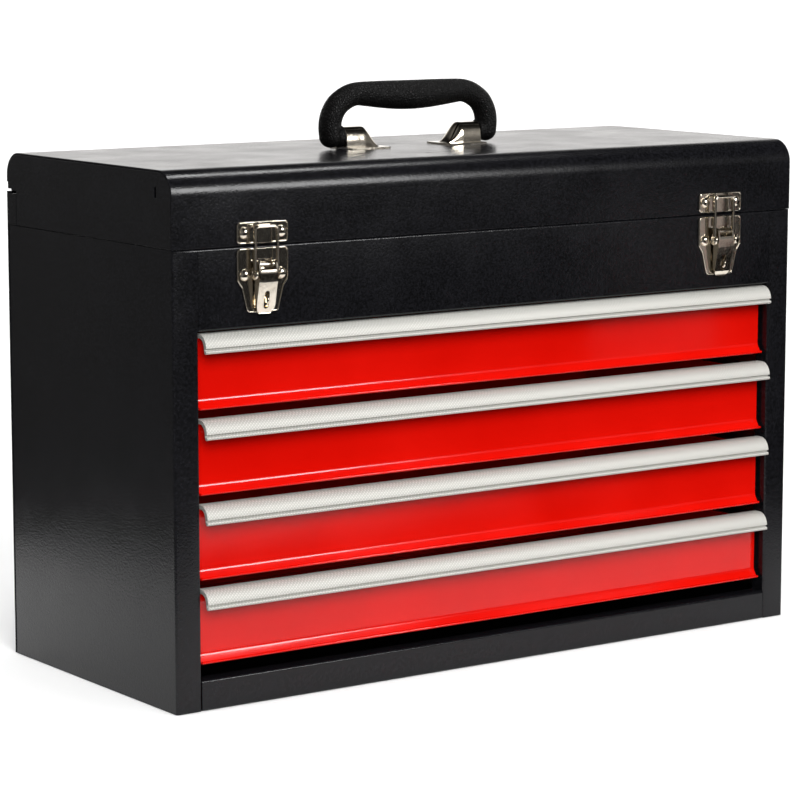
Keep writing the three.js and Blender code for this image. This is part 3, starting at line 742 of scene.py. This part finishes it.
def hinge_leaf(node, name, body, first, direction):
    """One leaf of the piano hinge with every second knuckle rolled on its edge."""
    low, high = corners(node)
    reach = corners("hinge_leaf_cabinet")[1][0] + 0.2
    count = 15
    pitch = 2 * reach / count
    leaf_back = BACK - SHEET - FIT
    near = HINGE_Z + direction * 2.8
    far = high[2] if direction > 0 else low[2]
    shells = [slab(-reach + 0.2, reach - 0.2, leaf_back - 0.7, leaf_back, min(near, far), max(near, far))]
    for i in range(first, count, 2):
        x0 = -reach + i * pitch + 0.2
        x1 = x0 + pitch - 0.4
        shells.append(sleeve(x0, x1, HINGE_Y, HINGE_Z, 2.4, 1.15))
        tongue_low, tongue_high = sorted((HINGE_Z + direction * 1.2, near))
        shells.append(slab(x0, x1, leaf_back - 0.7, leaf_back, tongue_low, tongue_high))
    make(name, shells, body, [node], BLACK, 0.15)


# ---------------------------------------------------------------- carrying handle
LEG_X = 66.5
PIVOT_Z = TOP + 9
GRIP_RADIUS = 8.0


def through(points):
    """A smooth route through points, in even steps."""
    per_span = 9
    points = [Vector(p) for p in points]
    ends = [2 * points[0] - points[1]] + points + [2 * points[-1] - points[-2]]
    route = []
    for a, b, c, d in zip(ends, ends[1:], ends[2:], ends[3:]):
        for k in range(per_span):
            t = k / per_span
            route.append(0.5 * (2 * b + (c - a) * t + (2 * a - 5 * b + 4 * c - d) * t * t
                                + (3 * b - a - 3 * c + d) * t * t * t))
    route.append(points[-1])
    for _ in range(3):
        inner = [(p + 2 * q + r) / 4 for p, q, r in zip(route, route[1:], route[2:])]
        route = [route[0]] + inner + [route[-1]]
    return route


def grip():
    """Moulded bail handle: two legs, wide elbows and a bar with a belly under the palm."""
    crown = TOP + 46 - GRIP_RADIUS
    half = [
        (LEG_X, PIVOT_Z), (LEG_X + 0.4, PIVOT_Z + 8), (LEG_X - 1.6, crown - 13.5), (LEG_X - 7, crown - 6.5),
        (LEG_X - 18, crown - 1), (LEG_X - 34, crown), (0, crown),
    ]
    line = [(-x, 0, z) for x, z in half] + [(x, 0, z) for x, z in half[-2::-1]]
    stations, radii = [], []
    for a in (88, 75, 60, 45, 30, 15):
        stations.append(Vector((-LEG_X, 0, PIVOT_Z - GRIP_RADIUS * sin(radians(a)))))
        radii.append(GRIP_RADIUS * cos(radians(a)))
    foot, foot_radii = list(stations), list(radii)
    for point in through(line):
        swell = max(0.0, 1 - (point.x / 46) ** 2) ** 1.3
        radius = GRIP_RADIUS + 2.2 * swell
        stations.append(Vector((point.x, 0, point.z - 2.2 * swell)))
        radii.append(radius)
    for point, radius in zip(foot[::-1], foot_radii[::-1]):
        stations.append(Vector((-point.x, 0, point.z)))
        radii.append(radius)
    bar = swept(stations, radii, 28)
    shells = [bar]
    for _, side in SIDES:
        shells.append(rod((side * 58.0, 0, PIVOT_Z), (side * 63, 0, PIVOT_Z), 7.4, 32, 0.5))
        shells.append(rod((side * 46.5, 0, PIVOT_Z), (side * 60, 0, PIVOT_Z), 4.5, 24, 0.6))
    make("handle_grip", shells, "handle", ["handle_grip"], VINYL, 0)


def saddle(name, side):
    """Pressed saddle over the handle's trunnion: an arched tunnel that slopes shut, with flat flanges."""
    base = TOP + 0.2
    flange = 14.2
    sheet = 1.1
    steps = 22

    def ring(x, half, rise):
        def hump(width, height, foot):
            points = []
            for i in range(steps + 1):
                t = pi * i / steps
                power = 2 / 2.6
                c, s = cos(t), sin(t)
                y = -width * (abs(c) ** power) * (1 if c >= 0 else -1)
                points.append((y, foot + height * (abs(s) ** power)))
            return points
        outer = hump(half, max(rise - 1, 0.0), base + 1)
        inner = hump(half - sheet, max(rise - sheet, 0.02), base)[::-1]
        line = [(-flange, base), (-flange, base + 0.8), (-flange + 0.2, base + 1)] + outer
        line += [(flange - 0.2, base + 1), (flange, base + 0.8), (flange, base)] + inner
        return [(side * x, y, z) for y, z in line]

    rings = [ring(57.5, 7.2, 14.8), ring(57.2, 7.4, 15.0), ring(56.9, 7.4, 15.0)]
    for x in (52, 47, 43, 41.5):
        rings.append(ring(x, 7.4, 15.0))
    for i in range(1, 13):
        t = i / 12
        drop = 3 * t * t - 2 * t * t * t
        rings.append(ring(41.5 - 12.5 * t, 7.4 - 1.6 * t, 15.0 - 14.0 * (0.35 * t + 0.65 * drop)))
    rings += [ring(27, 5.8, 1.0), ring(25.5, 5.8, 1.0)]
    make(
        f"handle_saddle_{name}", [skinned(rings)], "lid", [f"handle_bracket_{name}"], NICKEL, 0,
    )


# ---------------------------------------------------------------- latches
# Each latch piece is drawn about X = 0 and moved to its own side.
PLATE_BACK = FRONT - 0.2
PLATE_FACE = PLATE_BACK - 1.0
LEVER_Y, LEVER_Z = FRONT - 4.8, BODY_TOP - 12
BAIL_Y, BAIL_Z = FRONT - 5.5, BODY_TOP - 18
BASE_TOP = BODY_TOP - 1.3
LATCH_LOW = BASE_TOP - 41.7
KEEPER_LOW = BODY_TOP + 1.5
LEVER_HALF = 7.0
RIVET_RADIUS, RIVET_RISE = 3.8, 2.3
STAPLE_WIRE, STAPLE_BEND = 0.75, 2.65
BAIL_WIRE, BAIL_FLATTENED = 1.7, 0.55


def pressed_plate(outline, corner):
    """A flat plate with rounded corners and a raised bead round its edge."""
    edge = rounded(outline, corner, corner, closed=True)
    plate = run(edge, "y", PLATE_FACE, PLATE_BACK)
    centre = Vector((sum(p[0] for p in edge) / len(edge), sum(p[1] for p in edge) / len(edge)))
    inset = []
    for i, point in enumerate(edge):
        before, after = Vector(edge[i - 1]), Vector(edge[(i + 1) % len(edge)])
        way = (after - before).normalized()
        normal = Vector((-way.y, way.x))
        if normal.dot(centre - Vector(point)) < 0:
            normal = -normal
        inset.append(Vector(point) + normal * 0.55)
    bead = swept([(p.x, PLATE_FACE - 0.02, p.y) for p in inset], 0.52, 10, closed=True)
    return [plate, bead]


def rivet(x, z):
    """Domed rivet head."""
    radius, rise = RIVET_RADIUS, RIVET_RISE
    profile = [(0, -0.4), (radius, -0.4)]
    profile += [(radius * cos(radians(a)), rise * sin(radians(a)) + 0.12) for a in range(0, 90, 10)]
    profile += [(0, rise + 0.12)]
    return turned(profile, (x, PLATE_FACE, z), (0, -1, 0), 28)


def strap(half, out, z0, z1, bend):
    """A strap that stands off the plate: two legs and a face."""
    section = folded([
        (-half, PLATE_FACE + 0.5),
        (-half, PLATE_FACE - out),
        (half, PLATE_FACE - out),
        (half, PLATE_FACE + 0.5),
    ], 1.0, bend)
    return run(section, "z", z0, z1)


def latch_base(name, dx):
    half, foot = 19.5, 11.7
    shells = pressed_plate([
        (-half, BASE_TOP - 20.4, 2.4), (-half + 3.4, BASE_TOP - 25.2, 2.4), (-foot, LATCH_LOW, 3.2),
        (foot, LATCH_LOW, 3.2), (half - 3.4, BASE_TOP - 25.2, 2.4), (half, BASE_TOP - 20.4, 2.4),
        (half, BASE_TOP, 3.2), (-half, BASE_TOP, 3.2),
    ], 3.0)
    shells.append(strap(LEVER_HALF, 2.4, LEVER_Z + 3.7, BASE_TOP - 0.2, 1.5))
    for side in (-1, 1):
        outline = rounded([
            (PLATE_FACE + 0.5, LEVER_Z - 3), (PLATE_FACE + 0.5, LEVER_Z + 2.6), (LEVER_Y, LEVER_Z + 2.1),
        ] + arc(LEVER_Y, LEVER_Z, 2.1, 112, 248, 10) + [(LEVER_Y, LEVER_Z - 2.1)], 0)
        shells.append(run(outline, "x", *span(side, 4.2, 5.4)))
        shells.append(rivet(side * 13.8, BASE_TOP - 17.2))
    middle = LATCH_LOW + 8
    staple = [(0, PLATE_FACE + 0.4, middle - STAPLE_BEND)]
    staple += [(0, y, z) for y, z in arc(PLATE_FACE - 3.4, middle, STAPLE_BEND, 270, 90, 16)]
    staple += [(0, PLATE_FACE + 0.4, middle + STAPLE_BEND)]
    shells.append(swept(staple, STAPLE_WIRE, 12, up=(1, 0, 0)))
    make(
        f"latch_base_{name}", [shifted(s, dx) for s in shells], "cabinet", [f"latch_base_{name}"],
        NICKEL, 0.3, steps=3,
    )


def latch_keeper(name, dx):
    half, high = 19.5, KEEPER_LOW + 14
    shells = pressed_plate([(-half, KEEPER_LOW), (half, KEEPER_LOW), (half, high), (-half, high)], 3.0)
    shells.append(strap(6.3, 2.0, KEEPER_LOW + 0.3, high - 0.3, 1.4))
    shells += [rivet(side * 14, KEEPER_LOW + 7) for side in (-1, 1)]
    make(
        f"latch_keeper_{name}", [shifted(s, dx) for s in shells], "lid", [f"latch_keeper_{name}"],
        NICKEL, 0.3, steps=3,
    )


def latch_lever(name, dx):
    """Pressed lever: a curved face between two ears, a slot for the staple and a curled tip."""
    face = LEVER_Y - 3.1
    tip = LEVER_Z - 32.5
    back = [
        (face, LEVER_Z + 1.1),
        (face - 0.9, LEVER_Z - 6, 9.0),
        (face - 0.2, LEVER_Z - 11, 9.0),
        (PLATE_FACE - 3.2, tip + 4, 3.0),
    ]
    plate_line = rounded(
        [(face - 0.45, LEVER_Z - 3.5)] + back[1:]
        + [(PLATE_FACE - 1.6, tip + 1.2, 1.2), (PLATE_FACE - 2.4, tip)],
        3.0,
    )
    plate = run(plate_line + moved(plate_line, 0.9)[::-1], "x", -LEVER_HALF + 0.6, LEVER_HALF - 0.6)
    ear_line = rounded(back, 3.0) + rounded([
        (PLATE_FACE - 3.2, tip + 4),
        (PLATE_FACE - 1.4, tip + 5, 0.8),
        (PLATE_FACE - 1.4, LEVER_Z - 12, 2.0),
        (BAIL_Y + 2.2, BAIL_Z - 1.4, 1.0),
        (LEVER_Y + 2.4, LEVER_Z - 1.0),
    ], 0.8)[1:] + arc(LEVER_Y, LEVER_Z, 2.4, -12, 100, 9)
    ears = [run(ear_line, "x", *span(side, LEVER_HALF - 1.2, LEVER_HALF)) for side in (-1, 1)]
    slot_low, slot_high = tip + 3.8, tip + 15.6
    slot = run(
        arc(0, slot_low + 1.9, 1.9, 180, 360, 10) + arc(0, slot_high - 1.9, 1.9, 0, 180, 10),
        "y", LEVER_Y - 8, PLATE_FACE,
    )
    trims = []
    for side in (-1, 1):
        curve = [(side * (LEVER_HALF + 1), tip - 1.5), (side * (LEVER_HALF + 1), tip + 7)]
        curve += [(side * (LEVER_HALF * cos(t) ** 0.62), tip + 7 - 7.0 * sin(t)) for t in
                  [radians(a) for a in range(0, 90, 8)]]
        curve += [(0, tip - 0.001), (0, tip - 1.5)]
        trims.append(run(curve, "y", LEVER_Y - 8, PLATE_BACK))
    piece = make(
        f"latch_lever_{name}", [plate], f"lever_{name}", [f"latch_lever_{name}"], NICKEL, edge=0,
    )
    combined(piece, [ears[0]], "UNION")
    combined(piece, [ears[1]], "UNION")
    combined(piece, [slot], "DIFFERENCE")
    for trim in trims:
        combined(piece, [trim], "DIFFERENCE")
    for vertex in piece.data.vertices:
        vertex.co.x += dx * MM
    softened(piece, 0.4, 3, 40)


def latch_pin(name, dx):
    pin = rod((dx - 6.9, LEVER_Y, LEVER_Z), (dx + 6.9, LEVER_Y, LEVER_Z), 1.1, 20, 0.25)
    make(f"latch_pin_{name}", [pin], "cabinet", [f"latch_pin_{name}"], NICKEL, 0)


def latch_bail(name, dx):
    """Wire bail: a bar over the keeper, two legs, and an eye curled round each pivot rivet."""
    half, top = 8.5, BAIL_Z + 30.5
    line = rounded([(-half, BAIL_Z + 2.2), (-half, top), (half, top), (half, BAIL_Z + 2.2)], 2.4)
    route = [(x, BAIL_Y, z) for x, z in line]
    shells = [swept(route, BAIL_WIRE, 20, squash=BAIL_FLATTENED)]
    for side in (-1, 1):
        eye = [
            (side * (half + 0.4), BAIL_Y + 2.6 * sin(radians(a)), BAIL_Z + 2.6 * cos(radians(a)))
            for a in range(0, 360, 15)
        ]
        shells.append(swept(eye, 0.95, 12, up=(1, 0, 0), closed=True))
        shells.append(rod((side * 5.9, BAIL_Y, BAIL_Z), (side * 9.3, BAIL_Y, BAIL_Z), 1.1, 20, 0.3))
        head = [(0, 0), (1.9, 0), (1.8, 0.35), (1.2, 0.7), (0, 0.85)]
        shells.append(turned(head, (side * 9.2, BAIL_Y, BAIL_Z), (side, 0, 0), 20))
    make(
        f"latch_bail_{name}", [shifted(s, dx) for s in shells], f"bail_{name}", [f"latch_bail_{name}"],
        NICKEL, 0,
    )


# ---------------------------------------------------------------- the chest put together
for side_name, side_sign in SIDES:
    side_panel(side_name, side_sign)
    lid_end(side_name, side_sign)
    saddle(side_name, side_sign)
    base_low, base_high = corners(f"latch_base_{side_name}")
    latch_x = (base_low[0] + base_high[0]) / 2
    latch_base(side_name, latch_x)
    latch_keeper(side_name, latch_x)
    latch_lever(side_name, latch_x)
    latch_pin(side_name, latch_x)
    latch_bail(side_name, latch_x)
    carried_over(f"slide_carrier_{side_name}", ZINC)
fascia()
bottom()
lid_skin()
grip()
hinge_leaf("hinge_leaf_cabinet", "hinge_leaf_fixed", "cabinet", 0, -1)
hinge_leaf("hinge_leaf_lid", "hinge_leaf_moving", "lid", 1, 1)
make(
    "hinge_wire", [rod((PIN_LOW[0], HINGE_Y, HINGE_Z), (PIN_HIGH[0], HINGE_Y, HINGE_Z), 1.0, 16, 0.3)],
    "cabinet", ["hinge_pin"], ZINC, 0,
)
carried_over("back_panel", BLACK)
carried_over("till_floor", BLACK)
for drawer in range(1, 5):
    drawer_top = corners(f"drawer_pull_{drawer}")[1][2]
    tray(drawer, drawer_top)
    pull(drawer, drawer_top)
    for side_name, side_sign in SIDES:
        slides(drawer, drawer_top - FRONT_HEIGHT, side_name, side_sign)


# ---------------------------------------------------------------- studio
def floor():
    """A wide flat pale floor. It takes light and shadow but throws none back on the chest."""
    rings = []
    for radius in (0.0, 0.6, 2.0, 8.0, 40.0):
        rings.append([(radius * cos(2 * pi * k / 64), radius * sin(2 * pi * k / 64), 0.0) for k in range(64)])
    work = bmesh.new()
    centre = work.verts.new((0, 0, 0))
    loops = [[work.verts.new(p) for p in ring] for ring in rings[1:]]
    for k in range(64):
        j = (k + 1) % 64
        work.faces.new((centre, loops[0][k], loops[0][j]))
        for a, b in zip(loops, loops[1:]):
            work.faces.new((a[k], b[k], b[j], a[j]))
    mesh = bpy.data.meshes.new("studio_floor")
    work.to_mesh(mesh)
    work.free()
    ground = bpy.data.objects.new("studio_floor", mesh)
    ground.location.z = -0.0004
    ground.visible_glossy = False
    ground.visible_diffuse = False
    bpy.context.collection.objects.link(ground)
    mesh.materials.append(painted_floor())


def softbox(name, place, aim, width, height, power):
    """Flat panel lamp that only makes highlights; the distant lights do the lighting."""
    light = bpy.data.lights.new(name, "AREA")
    light.shape = "RECTANGLE"
    light.size, light.size_y = width, height
    light.energy = power
    lamp = bpy.data.objects.new(name, light)
    lamp.location = place
    lamp.rotation_euler = (Vector(aim) - Vector(place)).to_track_quat("-Z", "Y").to_euler()
    lamp.visible_diffuse = False
    bpy.context.collection.objects.link(lamp)


def camera():
    lens = bpy.data.cameras.new("camera")
    lens.lens = 140.085
    lens.sensor_width = 36
    lens.clip_end = 200
    eye = bpy.data.objects.new("camera", lens)
    eye.location = (-1.2652, -1.7856, 0.4994)
    eye.rotation_euler = (radians(81.422), 0, radians(-35.153))
    bpy.context.collection.objects.link(eye)
    bpy.context.scene.camera = eye


def reflected_only(name, outline):
    """A flat pale card that shows only in reflections."""
    mesh = bpy.data.meshes.new(name)
    mesh.from_pydata(outline, [], [list(range(len(outline)))])
    mesh.materials.append(painted_floor())
    card = bpy.data.objects.new(name, mesh)
    bpy.context.collection.objects.link(card)
    card.visible_camera = False
    card.visible_diffuse = False
    card.visible_shadow = False
    return card


def table_card():
    """Pale disc round the chest's foot, seen in the paint as a white table in a dim room."""
    turns = [2 * pi * k / 48 for k in range(48)]
    card = reflected_only("table_card", [(TABLE_RADIUS * cos(t), TABLE_RADIUS * sin(t), 0.0) for t in turns])
    card.location.z = -0.0002


def reflector(name, place, aim, width, height):
    """Small card turned to face a place on the chest."""
    x, y = width / 2, height / 2
    card = reflected_only(name, [(-x, -y, 0), (x, -y, 0), (x, y, 0), (-x, y, 0)])
    card.location = place
    card.rotation_euler = (Vector(aim) - Vector(place)).to_track_quat("Z", "Y").to_euler()


def room():
    """A dim room: a bright wall low down behind the chest and a dim one to its left."""
    world = bpy.data.worlds.new("dim room with a bright back wall")
    world.use_nodes = True
    bpy.context.scene.world = world
    tree = world.node_tree
    backdrop = tree.nodes["Background"]
    way = add(tree, "ShaderNodeTexCoord").outputs["Generated"]
    parts = add(tree, "ShaderNodeSeparateXYZ", {0: way}).outputs
    above = between(tree, parts[2], 0.0, 1.0, -0.03, 0.03)
    below_top = between(tree, parts[2], 1.0, 0.0, 0.22, 0.50)
    behind = between(tree, parts[1], 0.12, 1.0, -0.25, 0.35)
    band = add(tree, "ShaderNodeMath", {0: above, 1: below_top}, operation="MULTIPLY").outputs[0]
    rightward = between(tree, parts[0], 0.12, 1.0, -0.55, 0.0)
    sector = add(tree, "ShaderNodeMath", {0: behind, 1: rightward}, operation="MULTIPLY").outputs[0]
    wall = add(tree, "ShaderNodeMath", {0: band, 1: sector}, operation="MULTIPLY").outputs[0]
    leftward = between(tree, parts[0], SIDE_WALL, ROOM, -0.45, -0.2)
    strength = add(tree, "ShaderNodeMath", {0: wall, 1: WALL, 2: leftward}, operation="MULTIPLY_ADD")
    tree.links.new(strength.outputs[0], backdrop.inputs["Strength"])
    backdrop.inputs["Color"].default_value = linear("#F8F6F4")


def sunlight(name, energy, angle, tilt):
    """Soft light from far away that leaves no highlight."""
    sun = bpy.data.lights.new(name, "SUN")
    sun.energy = energy
    sun.angle = radians(angle)
    lamp = bpy.data.objects.new(name, sun)
    lamp.rotation_euler = [radians(t) for t in tilt]
    lamp.visible_glossy = False
    bpy.context.collection.objects.link(lamp)


ROOM, SIDE_WALL, WALL = 0.012, 0.16, 1.5    # brightness of the room, the left wall and the back wall
TABLE_RADIUS = 0.62
STRIP_AIM = (-0.12, -0.1, 0.34)             # the lid's front edge, left of the middle
floor()
table_card()
room()
sunlight("ceiling", 2.45, 60, (8, 0, 0))
sunlight("front light", 3.9, 42, (64, 0, -22))
softbox("front strip", (0.49, -1.21, 0.74), STRIP_AIM, 0.42, 0.42, 11)
softbox("top strip", (0.55, 0.0, 1.64), (-0.2, -0.1, 0.34), 0.26, 0.38, 4.6)
reflector("latch reflector", (0.31, -0.31, 0.242), (0.19, -0.11, 0.285), 0.10, 0.12)
camera()
bpy.context.scene.view_settings.view_transform = "Standard"
